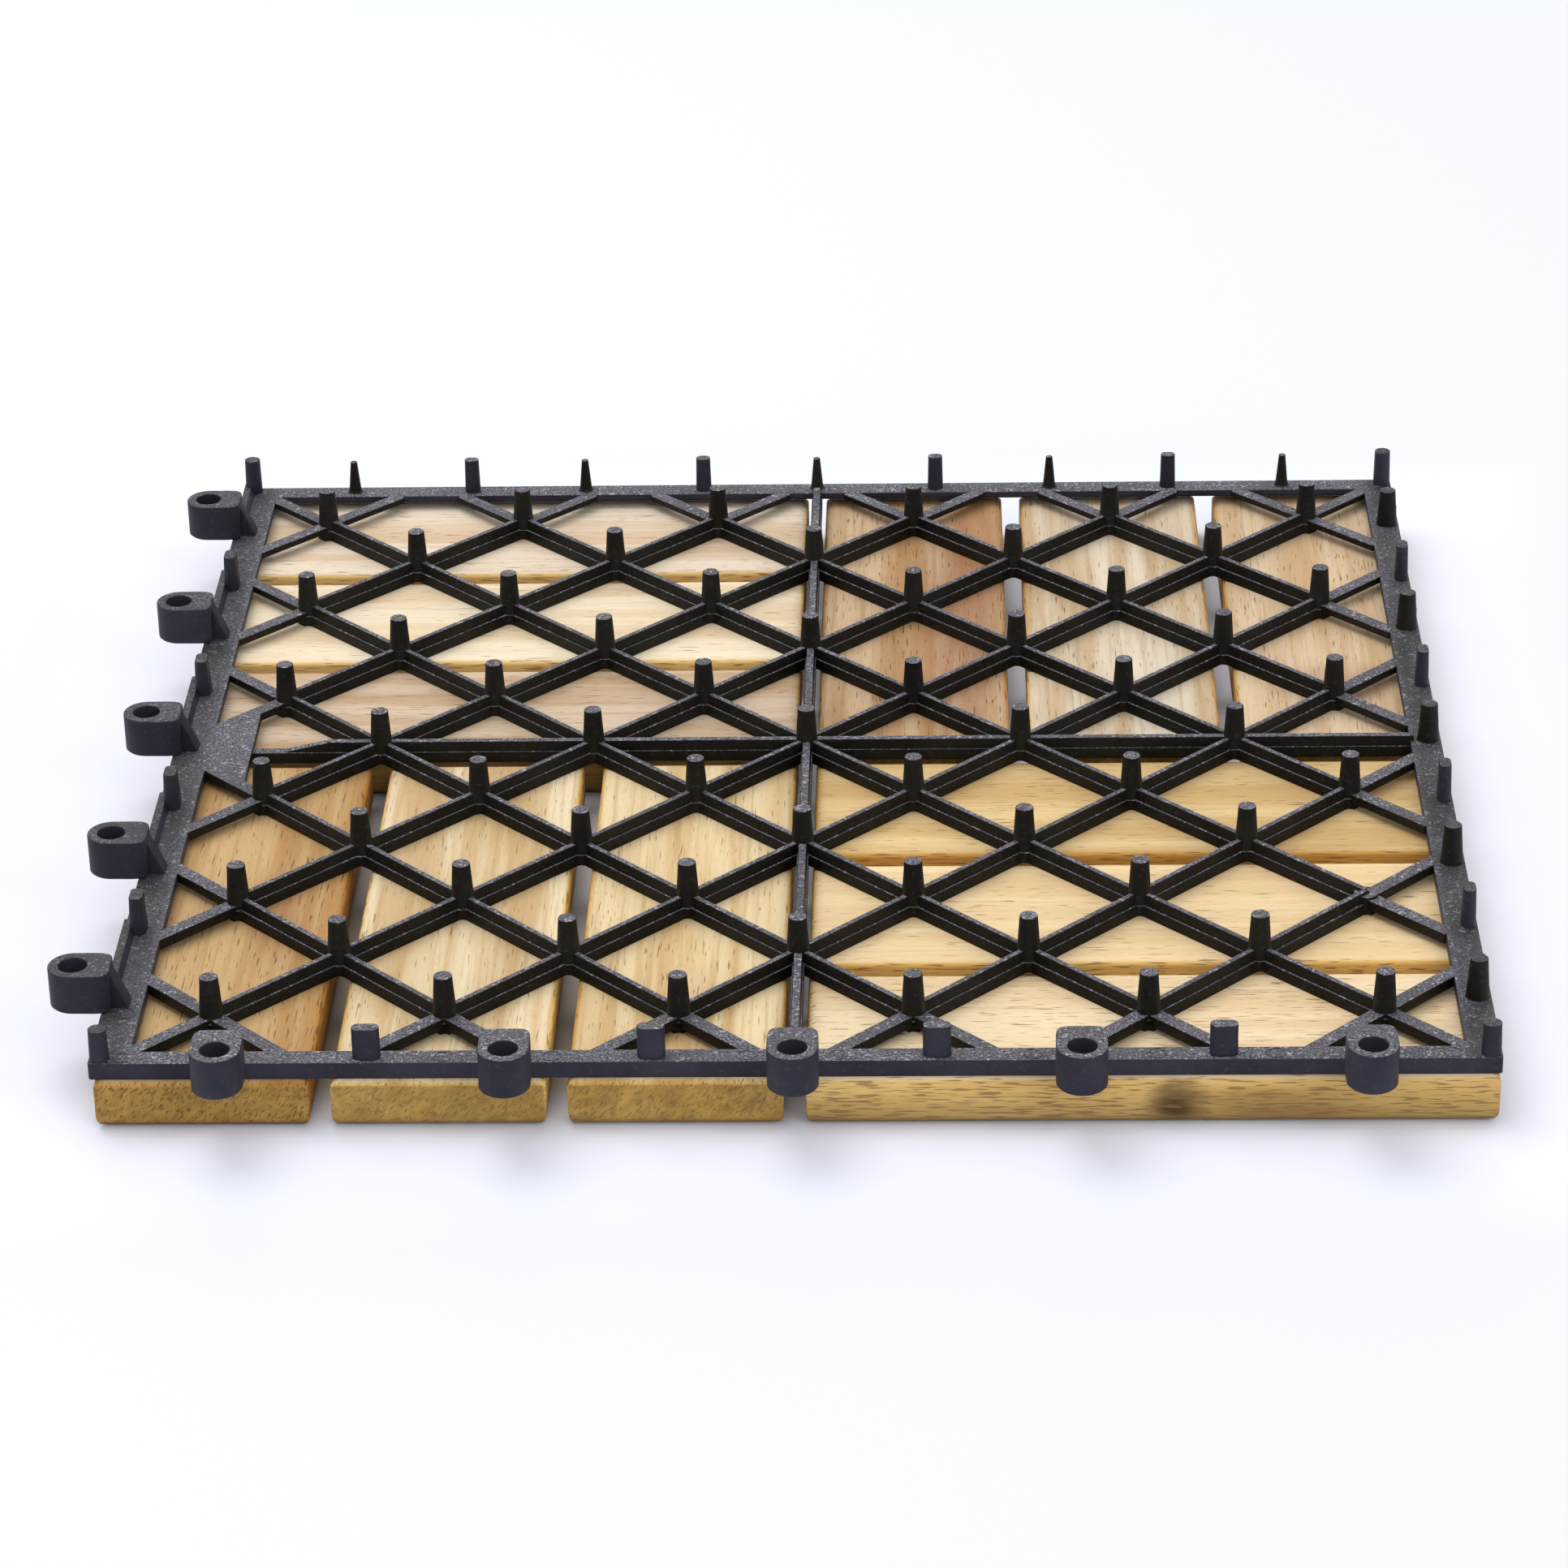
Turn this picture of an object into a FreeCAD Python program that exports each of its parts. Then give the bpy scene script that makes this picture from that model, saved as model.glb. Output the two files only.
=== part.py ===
"""Interlocking deck tile, lying face down as it does when its back is looked at.

The wooden deck face rests on the ground plane Z = 0 and the moulded base with its pegs
stands up from the wood.  +X runs towards the side with the stout pins, +Y towards the side
with the slim pins.  The forms are drawn round the middle of the joining pitch, and each is
saved with the origin in the middle of the whole tile, loops included.
All sizes are in millimetres.
"""
import FreeCAD, Part
import math
import os

from FreeCAD import Vector

# Wooden deck: four square blocks of slats, the grain turning from block to block
slat_width = 45.4
slat_gap = 4.6
slat_thickness = 11.0
deck_edge_radius = 2.8
back_edge_radius = 1.6
slat_edge_steps = 2
slats_per_block = 3

# Moulded base: a flat rim round a lattice of diagonal ribs, which stand a little lower than it
# and carry a narrow ridge each
rib_width = 3.35
rim_height = 3.8
web_height = 2.7
ridge_width = 1.6
ridge_height = 2.5
spine_ridge_width = 2.2
spine_taper_start = 2.0
spine_taper_length = 11.0

# Rim edges: how far each outer face lies inside the tile's share of the deck, and how wide
left_margin = 0.4
right_margin = 1.8
front_margin = 4.9
back_margin = 2.6
left_rim_width = 8.4
right_rim_width = 7.8
front_rim_width = 4.6
back_rim_width = 7.2

# Pegs on the crossings of the ribs, which carry the tile above the ground.
# Round posts and the small hole left by a lost peg are drawn with flats.
post_sides = 8
lost_hole_sides = 6
peg_base_radius = 2.4
peg_top_radius = 1.87
peg_height = 10.3
lost_peg_column = 5
lost_peg_row = 1
lost_peg_hole_radius = 0.75

# Joining loops on the front and left, joining pins on the back and right
joints_per_side = 5
front_loop_reach = 5.8
left_loop_reach = 4.8
loop_width = 10.8
loop_hole_radius = 3.1
loop_inner_length = 8.2
loop_corner_cut = 1.2
loop_lift = 0.2
loop_height = 9.2
buttress_run = 3.9
buttress_side_step = 0.5
pin_height = 9.4
stout_pin_base_radius = 2.5
stout_pin_top_radius = 1.85
slim_pin_base_radius = 2.0
slim_pin_top_radius = 1.05

# Rim feet between the loops and pins, studs at the corners, and low lips on the sides
foot_length = 6.0
foot_depth = 2.9
foot_height = 7.2
foot_setback = 1.4
foot_draft = 0.2
stud_width = 4.3
stud_depth = 3.4
stud_height = 7.3
stud_setback = 0.3
lip_width = 1.6
lip_height = 1.8
lip_start_clearance = 0.6
left_lip_length = 28.0
right_lip_length = 9.5

# Countersunk screws driven from the deck face through each slat into the base
screw_sides = 6
screw_head_radius = 2.8
screw_shank_radius = 1.3
screw_length = 13.2

# How closely the flat faces of one solid must meet
skin_tolerance = 1e-6

# Sizes that follow from those above
node_pitch = slat_width + slat_gap
columns = 2 * slats_per_block
join_pitch = columns * node_pitch
half_pitch = join_pitch / 2
slat_length = slats_per_block * slat_width + (slats_per_block - 1) * slat_gap
rim_top = slat_thickness + rim_height
web_top = slat_thickness + web_height
ridge_top = web_top + ridge_height
loop_pitch = join_pitch / joints_per_side

rim_left = -half_pitch + left_margin
rim_right = half_pitch - right_margin
rim_front = -half_pitch + front_margin
rim_back = half_pitch - back_margin
window_left = rim_left + left_rim_width
window_right = rim_right - right_rim_width
window_front = rim_front + front_rim_width
window_back = rim_back - back_rim_width

front_loop_line = -half_pitch - front_loop_reach
left_loop_line = -half_pitch - left_loop_reach
slim_pin_line = front_loop_line + join_pitch
stout_pin_line = left_loop_line + join_pitch

deck_reach = half_pitch - slat_gap / 2
tile_left = left_loop_line - loop_width / 2
tile_front = front_loop_line - loop_width / 2
tile_right = max(rim_right, deck_reach)
tile_back = max(rim_back, deck_reach)
tile_middle = Vector((tile_left + tile_right) / 2, (tile_front + tile_back) / 2, 0)


def box(x0, y0, z0, x1, y1, z1):
    """A block between two opposite corners."""
    return Part.makeBox(x1 - x0, y1 - y0, z1 - z0, Vector(x0, y0, z0))


def outer_line(i):
    """Place of column or row i of the crossings on the slats' centre lines."""
    return node_pitch * (i + 0.5 - columns / 2)


def inner_line(i):
    """Place of line i halfway between two slats, counted from the tile's first edge."""
    return node_pitch * (i - columns / 2)


def joint_places():
    """Places of the loops or pins along one side."""
    return [-half_pitch + loop_pitch * (k + 0.5) for k in range(joints_per_side)]


def foot_places():
    """Places of the rim feet, halfway between the loops or pins."""
    return [-half_pitch + loop_pitch * k for k in range(1, joints_per_side)]


def crossings():
    """Every crossing of the diagonal ribs: the outer grid and the one between it."""
    outer = [(i, j, outer_line(i), outer_line(j)) for i in range(columns) for j in range(columns)]
    lines = range(1, columns)
    inner = [(None, None, inner_line(i), inner_line(j)) for i in lines for j in lines]
    return outer + inner


def polygon(points):
    """A flat face with straight edges through these points."""
    return Part.Face(Part.makePolygon(points + points[:1]))


def stacked(rings):
    """A solid skinned with flat faces over level rings that all have the same number of points."""
    faces = [polygon(rings[0]), polygon(rings[-1])]
    for low, high in zip(rings, rings[1:]):
        for n in range(len(low)):
            faces.append(polygon([low[n - 1], low[n], high[n], high[n - 1]]))
    solid = Part.makeSolid(Part.makeShell(faces))
    solid.fix(skin_tolerance, skin_tolerance, skin_tolerance)
    return solid


def flat_face(points):
    """A flat face on the wood's back plane with straight edges."""
    return polygon([Vector(x, y, slat_thickness) for x, y in points])


def rectangle(x0, y0, x1, y1):
    """A rectangular face on the wood's back plane."""
    return flat_face([(x0, y0), (x1, y0), (x1, y1), (x0, y1)])


def diamond(x, y):
    """The open face between four diagonal ribs, centred at x, y."""
    reach = node_pitch / 2 - rib_width / math.sqrt(2)
    return flat_face([(x - reach, y), (x, y - reach), (x + reach, y), (x, y + reach)])


def cell_faces():
    """Flat outlines of all the lattice openings, clipped by the rim, the spines and a corner plate.

    The plate closes the left half of the first opening on the line across the tile.
    """
    window = rectangle(window_left, window_front, window_right, window_back)
    half_rib = rib_width / 2
    half_cell = node_pitch / 2
    first = outer_line(0)
    plate = [(first - half_cell, 0), (first, -half_cell), (first, half_cell)]
    spines = [
        rectangle(-half_rib, rim_front, half_rib, rim_back),
        rectangle(first, -half_rib, rim_right, half_rib),
        flat_face(plate),
    ]
    centres = [(inner_line(i), outer_line(j)) for i in range(columns + 1) for j in range(columns)]
    centres += [(outer_line(i), inner_line(j)) for i in range(columns) for j in range(columns + 1)]
    faces = []
    for x, y in centres:
        opening = diamond(x, y).common(window).cut(spines)
        faces += opening.Faces
    return faces


def lattice():
    """Rim and ribs as one plate with all its openings, lower between the outermost crossings."""
    plate = box(rim_left, rim_front, slat_thickness, rim_right, rim_back, rim_top)
    low, high = outer_line(0), outer_line(columns - 1)
    plate = plate.cut(box(low, low, web_top, high, high, rim_top))
    return plate.cut([face.extrude(Vector(0, 0, rim_height)) for face in cell_faces()])


def diagonal_ridge(x0, y0, length, turn):
    """A narrow ridge on top of a rib, starting at x0, y0 and turned about Z by turn degrees."""
    half = ridge_width / 2
    ridge = box(-half, -half, web_top, length + half, half, ridge_top)
    ridge.rotate(Vector(0, 0, 0), Vector(0, 0, 1), turn)
    ridge.translate(Vector(x0, y0, 0))
    return ridge


def ridges():
    """Ridges on the diagonal ribs, from the first crossing of each rib to its last."""
    shapes = []
    for k in range(2 - columns, columns - 1):
        spread = (columns - 1 - abs(k)) * node_pitch
        middle = k * node_pitch / 2
        start = middle - spread / 2
        length = spread * math.sqrt(2)
        shapes.append(diagonal_ridge(start, -middle - spread / 2, length, 45))
        shapes.append(diagonal_ridge(start, middle + spread / 2, length, -45))
    return shapes


def spine_ridges():
    """Ridges on the two straight spines, the one across the tile ramped down at its left end."""
    half = spine_ridge_width / 2
    along = box(-half, window_front, web_top, half, window_back, ridge_top)
    start = outer_line(0) + spine_taper_start
    side = [(start, web_top), (window_right, web_top), (window_right, ridge_top)]
    side.append((start + spine_taper_length, ridge_top))
    across = polygon([Vector(x, -half, z) for x, z in side]).extrude(Vector(0, spine_ridge_width, 0))
    return [along, across]


def ring(x, y, z, radius, sides):
    """Corners of a regular polygon round x, y that holds as much area as a circle of this radius."""
    step = 2 * math.pi / sides
    corner = radius * math.sqrt(step / math.sin(step))
    angles = [step * (n + 0.5) for n in range(sides)]
    return [Vector(x + corner * math.cos(a), y + corner * math.sin(a), z) for a in angles]


def stub(x, y, level, base_radius, top_radius, height):
    """A round tapered post standing on this level of the base."""
    foot = ring(x, y, level, base_radius, post_sides)
    head = ring(x, y, level + height, top_radius, post_sides)
    return stacked([foot, head])


def is_lost(i, j):
    """True at the one crossing whose peg has broken away."""
    return i == lost_peg_column and j == lost_peg_row


def pegs():
    """Tapered pegs on all crossings but the one whose peg is missing."""
    places = [(x, y) for i, j, x, y in crossings() if not is_lost(i, j)]
    return [stub(x, y, web_top, peg_base_radius, peg_top_radius, peg_height) for x, y in places]


def pins():
    """Joining pins: stout ones on the right rim, slim ones on the back rim."""
    stout = stout_pin_base_radius, stout_pin_top_radius, pin_height
    slim = slim_pin_base_radius, slim_pin_top_radius, pin_height
    shapes = [stub(stout_pin_line, y, rim_top, *stout) for y in joint_places()]
    return shapes + [stub(x, slim_pin_line, rim_top, *slim) for x in joint_places()]


def loop(rim_face):
    """One joining loop with its hole at the origin, reaching out towards -Y.

    rim_face is how far the rim's outer face lies from the hole's centre.
    """
    half = loop_width / 2
    bottom = rim_top + loop_lift
    top = bottom + loop_height
    inner = loop_inner_length
    turns = [math.pi * (1 + n / post_sides) for n in range(post_sides + 1)]
    outline = [(half * math.cos(a), half * math.sin(a)) for a in turns]
    outline += [(half, inner - loop_corner_cut), (half - loop_corner_cut, inner)]
    outline += [(loop_corner_cut - half, inner), (-half, inner - loop_corner_cut)]
    body = polygon([Vector(x, y, bottom) for x, y in outline]).extrude(Vector(0, 0, loop_height))
    side = half - buttress_side_step
    root = min(loop_hole_radius + buttress_side_step, rim_face)
    profile = [(root, bottom), (root, top), (inner, top), (inner + buttress_run, rim_top)]
    profile += [(rim_face, rim_top), (rim_face, bottom)]
    buttress = polygon([Vector(-side, y, z) for y, z in profile]).extrude(Vector(2 * side, 0, 0))
    hole = Part.makeCylinder(loop_hole_radius, loop_height, Vector(0, 0, bottom))
    return body.fuse(buttress).cut(hole)


def loops():
    """Joining loops: five on the front side and five on the left side."""
    shapes = []
    for place in joint_places():
        front = loop(rim_front - front_loop_line)
        front.translate(Vector(place, front_loop_line, 0))
        left = loop(rim_left - left_loop_line)
        left.rotate(Vector(0, 0, 0), Vector(0, 0, 1), -90)
        left.translate(Vector(left_loop_line, place, 0))
        shapes += [front, left]
    return shapes


def rectangle_ring(x0, y0, x1, y1, z, inset):
    """Corners of a level rectangle drawn in by inset on all four sides."""
    x0, y0, x1, y1 = x0 + inset, y0 + inset, x1 - inset, y1 - inset
    return [Vector(x0, y0, z), Vector(x1, y0, z), Vector(x1, y1, z), Vector(x0, y1, z)]


def tapered_block(x0, y0, x1, y1, height):
    """A block on the rim whose sides draw in a little towards its top."""
    foot = rectangle_ring(x0, y0, x1, y1, rim_top, 0)
    head = rectangle_ring(x0, y0, x1, y1, rim_top + height, foot_draft)
    return stacked([foot, head])


def feet():
    """Short blocks on the rim, halfway between the loops or pins on all four sides."""
    half = foot_length / 2
    near = foot_setback
    far = foot_setback + foot_depth
    shapes = []
    for place in foot_places():
        low, high = place - half, place + half
        shapes.append(tapered_block(low, rim_front + near, high, rim_front + far, foot_height))
        shapes.append(tapered_block(low, rim_back - far, high, rim_back - near, foot_height))
        shapes.append(tapered_block(rim_left + near, low, rim_left + far, high, foot_height))
        shapes.append(tapered_block(rim_right - far, low, rim_right - near, high, foot_height))
    return shapes


def corner_studs():
    """A stud in each corner of the rim."""
    shapes = []
    for x in (rim_left + stud_setback, rim_right - stud_setback - stud_width):
        for y in (rim_front + stud_setback, rim_back - stud_setback - stud_depth):
            shapes.append(tapered_block(x, y, x + stud_width, y + stud_depth, stud_height))
    return shapes


def lips():
    """Low lips along the outer edges of the left and right rims, behind each loop or pin."""
    top = rim_top + lip_height
    start = loop_width / 2 + lip_start_clearance
    shapes = []
    for place in joint_places():
        low = place + start
        left_end = min(low + left_lip_length, rim_back)
        shapes.append(box(rim_left, low, rim_top, rim_left + lip_width, left_end, top))
        shapes.append(box(rim_right - lip_width, low, rim_top, rim_right, low + right_lip_length, top))
    return shapes


def screw_places(block):
    """The two screws of each slat stand on its first and last crossing."""
    x_side, y_side, along_y = block
    first = outer_line(slats_per_block * x_side), outer_line(slats_per_block * y_side)
    reach = (slats_per_block - 1) * node_pitch
    places = []
    for n in range(slats_per_block):
        for end in (0, reach):
            step = n * node_pitch
            dx, dy = (step, end) if along_y else (end, step)
            places.append((first[0] + dx, first[1] + dy))
    return places


def screw(x, y, room=0):
    """A countersunk screw pointing up with its head in the deck face.

    With room it is the hole for that screw, carried on below the deck face by that much.
    """
    seat = screw_head_radius - screw_shank_radius
    levels = [(0, screw_head_radius), (seat, screw_shank_radius), (screw_length, screw_shank_radius)]
    if room:
        levels.insert(0, (-room, screw_head_radius))
    return stacked([ring(x, y, z, r, screw_sides) for z, r in levels])


blocks = {
    "front_left": (0, 0, True),
    "front_right": (1, 0, False),
    "back_left": (0, 1, False),
    "back_right": (1, 1, True),
}


def all_screw_places():
    """Places of every screw in the tile."""
    return [place for block in blocks.values() for place in screw_places(block)]


def screw_holes():
    """The holes of all the screws."""
    return [screw(x, y, slat_thickness) for x, y in all_screw_places()]


def base_grid():
    """The moulded base in one piece, with the seats of the screws."""
    parts = ridges() + spine_ridges() + pegs() + pins() + loops() + feet() + corner_studs() + lips()
    solid = lattice().fuse(parts).removeSplitter()
    lost = outer_line(lost_peg_column), outer_line(lost_peg_row)
    levels = (slat_thickness, ridge_top)
    hole = stacked([ring(*lost, z, lost_peg_hole_radius, lost_hole_sides) for z in levels])
    return solid.cut(screw_holes() + [hole])


def slat(block, number):
    """One wooden slat, all its level edges rounded over in a few flats."""
    x_side, y_side, along_y = block
    x0 = inner_line(slats_per_block * x_side) + slat_gap / 2
    y0 = inner_line(slats_per_block * y_side) + slat_gap / 2
    if along_y:
        x0 += number * node_pitch
        wide, deep = slat_width, slat_length
    else:
        y0 += number * node_pitch
        wide, deep = slat_length, slat_width
    turns = [n * math.pi / 2 / slat_edge_steps for n in range(slat_edge_steps + 1)]
    bends = [(1 - math.cos(a), 1 - math.sin(a)) for a in turns]
    levels = [(deck_edge_radius * rise, deck_edge_radius * inset) for rise, inset in bends]
    levels += [(slat_thickness - back_edge_radius * rise, back_edge_radius * inset)
               for rise, inset in reversed(bends)]
    rings = [rectangle_ring(x0, y0, x0 + wide, y0 + deep, z, inset) for z, inset in levels]
    return stacked(rings).cut([screw(x, y, slat_thickness) for x, y in screw_places(block)])


def save(name, shape):
    """Write one node's solids, moved so that the middle of the tile is the origin."""
    shape.translate(-tile_middle)
    shape.exportStep("parts/" + name + ".step")
    volume = sum(solid.Volume for solid in shape.Solids)
    print(name, "solids", len(shape.Solids), "valid", shape.isValid(), "volume", round(volume))


os.makedirs("parts", exist_ok=True)
save("base_grid", base_grid())
for side, block in blocks.items():
    for number in range(slats_per_block):
        save("slat_" + side + "_" + str(number + 1), slat(block, number))
save("deck_screws", Part.makeCompound([screw(x, y) for x, y in all_screw_places()]))
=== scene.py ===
"""Looks of an interlocking deck tile that lies face down, its moulded back and pegs up."""
import math

import bmesh
import bpy
import numpy as np
from mathutils import Matrix, Vector


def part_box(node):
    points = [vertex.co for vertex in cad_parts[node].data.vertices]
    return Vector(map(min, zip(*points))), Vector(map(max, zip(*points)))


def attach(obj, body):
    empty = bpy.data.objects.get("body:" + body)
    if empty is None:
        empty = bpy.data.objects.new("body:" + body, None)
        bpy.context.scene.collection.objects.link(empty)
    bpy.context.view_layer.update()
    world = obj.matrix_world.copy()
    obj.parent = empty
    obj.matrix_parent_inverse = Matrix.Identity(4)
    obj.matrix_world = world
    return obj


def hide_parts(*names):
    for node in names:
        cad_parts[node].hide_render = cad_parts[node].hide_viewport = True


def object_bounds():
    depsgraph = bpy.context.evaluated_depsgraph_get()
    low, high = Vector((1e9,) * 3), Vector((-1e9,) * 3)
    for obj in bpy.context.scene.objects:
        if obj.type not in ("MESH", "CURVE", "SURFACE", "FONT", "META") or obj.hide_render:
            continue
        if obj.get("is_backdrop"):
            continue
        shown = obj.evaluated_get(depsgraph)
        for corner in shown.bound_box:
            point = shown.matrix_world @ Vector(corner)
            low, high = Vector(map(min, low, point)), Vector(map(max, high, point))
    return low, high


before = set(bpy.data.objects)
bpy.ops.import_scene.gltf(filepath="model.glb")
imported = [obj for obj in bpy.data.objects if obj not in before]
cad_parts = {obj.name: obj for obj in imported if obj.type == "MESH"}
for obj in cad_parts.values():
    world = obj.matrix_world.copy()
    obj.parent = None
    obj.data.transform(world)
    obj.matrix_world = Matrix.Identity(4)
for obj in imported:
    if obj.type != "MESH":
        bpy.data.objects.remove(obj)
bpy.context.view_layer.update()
MM = 0.001


# Wooden slats.
# Twelve short boards of an open-pored hardwood in four blocks, the grain turning from block
# to block.  All their edges are rounded over.  Each is held by two screws from the deck face.

deck_edge_radius = 2.8 * MM
back_edge_width = 2.6 * MM
back_edge_drop = 1.3 * MM
slat_corner_radius = 0.7 * MM
slat_edge_levels = 7
corner_steps = 5
least_corner = 0.06 * MM
screw_head_radius = 2.8 * MM
screw_shank_radius = 1.3 * MM
screw_inset = 23 * MM
screw_sides = 24

# The slats lie evenly round the middle of the joining pitch, whose corners they share
near_corner = np.array(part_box("slat_front_left_1")[0])
far_corner = np.array(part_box("slat_back_right_3")[1])
tile_middle = (near_corner + far_corner) / 2 * (1, 1, 0)


def tile_box(name):
    """The corners of a CAD piece, measured from the middle of the joining pitch."""
    low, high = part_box(name)
    return np.array(low) - tile_middle, np.array(high) - tile_middle


def ring_faces(rows, columns, closed=False):
    """Quads of a grid of rows whose last column joins its first, as indices into its points.

    In a closed one the last row joins the first row too.
    """
    bands = rows if closed else rows - 1
    row, column = np.meshgrid(np.arange(bands), np.arange(columns), indexing="ij")
    near, far = row * columns, (row + 1) % rows * columns
    there = (column + 1) % columns
    corners = [near + column, near + there, far + there, far + column]
    return np.stack(corners, axis=-1).reshape(-1, 4)


def skin(rings, capped=True, closed=False):
    """Points and faces of a tube through the rings, capped by flat faces or closed on itself."""
    count, around = rings.shape[:2]
    faces = [ring_faces(count, around, closed)]
    if capped:
        ring = np.arange(around)[None]
        faces += [ring[:, ::-1], ring + (count - 1) * around]
    return rings.reshape(-1, 3), faces


def rounded_rings(low, high, corner, insets, heights):
    """Rings of a rectangle with rounded corners, one ring for each inset and height.

    A ring lies inset inside the rectangle.  Its corners are quarter circles whose radius is
    the corner radius less the inset, but never nothing.
    """
    insets, heights = np.asarray(insets, float), np.asarray(heights, float)
    radius = np.maximum(corner - insets, least_corner)[:, None, None]
    turn = np.linspace(0, np.pi / 2, corner_steps)
    angle = (turn[None, :] + np.arange(4)[:, None] * np.pi / 2)[None]
    sides = np.array([[high[0], high[1]], [low[0], high[1]], [low[0], low[1]], [high[0], low[1]]])
    inwards = np.array([[-1, -1], [1, -1], [1, 1], [-1, 1]])
    centre = sides[None] + inwards[None] * (insets[:, None, None] + radius)
    x = centre[:, :, None, 0] + radius * np.cos(angle)
    y = centre[:, :, None, 1] + radius * np.sin(angle)
    z = np.broadcast_to(heights[:, None, None], x.shape)
    return np.stack([x, y, z], axis=-1).reshape(len(insets), -1, 3)


def round_over(bottom, top, levels):
    """Insets and heights up a wall whose lower edge is a quarter circle.

    The upper edge is a quarter of an ellipse, twice as wide as it is high.
    """
    angle = np.linspace(0, np.pi / 2, levels)
    inset, rise = 1 - np.sin(angle), 1 - np.cos(angle)
    insets = [deck_edge_radius * inset, back_edge_width * inset[::-1]]
    heights = [bottom + deck_edge_radius * rise, (top - back_edge_drop * rise)[::-1]]
    return np.concatenate(insets), np.concatenate(heights)


def circle_rings(x, y, radii, heights, sides):
    """Level circles round x, y, one for each radius and height."""
    angle = np.arange(sides) * 2 * np.pi / sides
    radii, heights = np.asarray(radii, float)[:, None], np.asarray(heights, float)[:, None]
    z = heights + 0 * angle
    return np.stack([x + radii * np.cos(angle), y + radii * np.sin(angle), z], axis=-1)


def close_flats(mesh):
    """Fills every open level outline, holes left open, and turns all faces outwards."""
    edit = bmesh.new()
    edit.from_mesh(mesh)
    open_edges = [edge for edge in edit.edges if edge.is_boundary]
    levels = {round(edge.verts[0].co.z, 7) for edge in open_edges}
    for level in sorted(levels):
        rim = [edge for edge in open_edges if round(edge.verts[0].co.z, 7) == level]
        bmesh.ops.triangle_fill(edit, use_beauty=True, use_dissolve=False, edges=rim)
    bmesh.ops.recalc_face_normals(edit, faces=edit.faces)
    edit.to_mesh(mesh)
    edit.free()


def make_piece(name, parts, material, smooth_angle=35):
    """A mesh object of these parts, drawn round the middle of the joining pitch.

    It shades smoothly wherever its faces meet at a shallow angle.
    """
    points = np.concatenate([part_points for part_points, _ in parts])
    starts = np.cumsum([0] + [len(part_points) for part_points, _ in parts])
    blocks = [block + start for (_, faces), start in zip(parts, starts) for block in faces]
    all_faces = [face for block in blocks for face in block.tolist()]
    mesh = bpy.data.meshes.new(name)
    mesh.from_pydata((points + tile_middle).tolist(), [], all_faces)
    mesh.materials.append(material)
    piece = bpy.data.objects.new(name, mesh)
    bpy.context.scene.collection.objects.link(piece)
    close_flats(mesh)
    mesh.set_sharp_from_angle(angle=math.radians(smooth_angle))
    mesh.polygons.foreach_set("use_smooth", np.ones(len(mesh.polygons), bool))
    mesh.update()
    return piece


def runs_along_y(low, high):
    """Whether a board is longer along Y than along X."""
    return high[1] - low[1] > high[0] - low[0]


def screw_places(low, high):
    """Where a board's two screws stand: on its middle line, inset from its ends."""
    along = 1 if runs_along_y(low, high) else 0
    places = np.tile((low[:2] + high[:2]) / 2, (2, 1))
    places[:, along] = low[along] + screw_inset, high[along] - screw_inset
    return places


def slat_mesh(low, high):
    """A board with rounded edges and two countersunk screw holes in its lower face."""
    insets, heights = round_over(low[2], high[2], slat_edge_levels)
    board = skin(rounded_rings(low, high, slat_corner_radius, insets, heights), capped=False)
    seat = screw_head_radius - screw_shank_radius
    radii = (screw_head_radius, screw_shank_radius, screw_shank_radius, screw_shank_radius)
    levels = (low[2], low[2] + seat, high[2] / 2, high[2])
    holes = [circle_rings(x, y, radii, levels, screw_sides) for x, y in screw_places(low, high)]
    return [board] + [skin(hole, capped=False) for hole in holes]


def new_material(name):
    """An empty node material with its principled shader."""
    material = bpy.data.materials.new(name)
    material.use_nodes = True
    return material, material.node_tree.nodes["Principled BSDF"]


def node(material, kind, **values):
    """A shader node with some of its properties and unlinked inputs set."""
    made = material.node_tree.nodes.new(kind)
    for key, value in values.items():
        if key in made.inputs:
            made.inputs[key].default_value = value
        else:
            setattr(made, key, value)
    return made


def join(material, start, end):
    """Links an output to an input."""
    material.node_tree.links.new(start, end)


def feed(material, value, socket):
    """Links an output to a socket, or sets the socket to a number or a colour."""
    if isinstance(value, bpy.types.NodeSocket):
        join(material, value, socket)
    else:
        socket.default_value = value


def mix(material, factor, first, second, blend="MIX"):
    """A colour mixed from two others, each a colour or an output."""
    made = node(material, "ShaderNodeMix", data_type="RGBA", blend_type=blend)
    for value, socket in ((factor, made.inputs[0]), (first, made.inputs[6]), (second, made.inputs[7])):
        feed(material, value, socket)
    return made.outputs[2]


def multiplied(material, first, second):
    """Two colours multiplied channel by channel."""
    return mix(material, 1.0, first, second, "MULTIPLY")


def sums(material, operation, first, second=0.0, third=0.0, clamp=False):
    """One sum on numbers or outputs."""
    made = node(material, "ShaderNodeMath", operation=operation, use_clamp=clamp)
    for value, socket in zip((first, second, third), made.inputs):
        feed(material, value, socket)
    return made.outputs[0]


def ramp(material, source, low, high, reverse=False):
    """0 below low and 1 above high, with a smooth rise between, or the reverse."""
    made = node(material, "ShaderNodeMapRange", interpolation_type="SMOOTHSTEP")
    join(material, source, made.inputs["Value"])
    made.inputs["From Min"].default_value = low
    made.inputs["From Max"].default_value = high
    made.inputs["To Min"].default_value = 1.0 if reverse else 0.0
    made.inputs["To Max"].default_value = 0.0 if reverse else 1.0
    return made.outputs["Result"]


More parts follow.
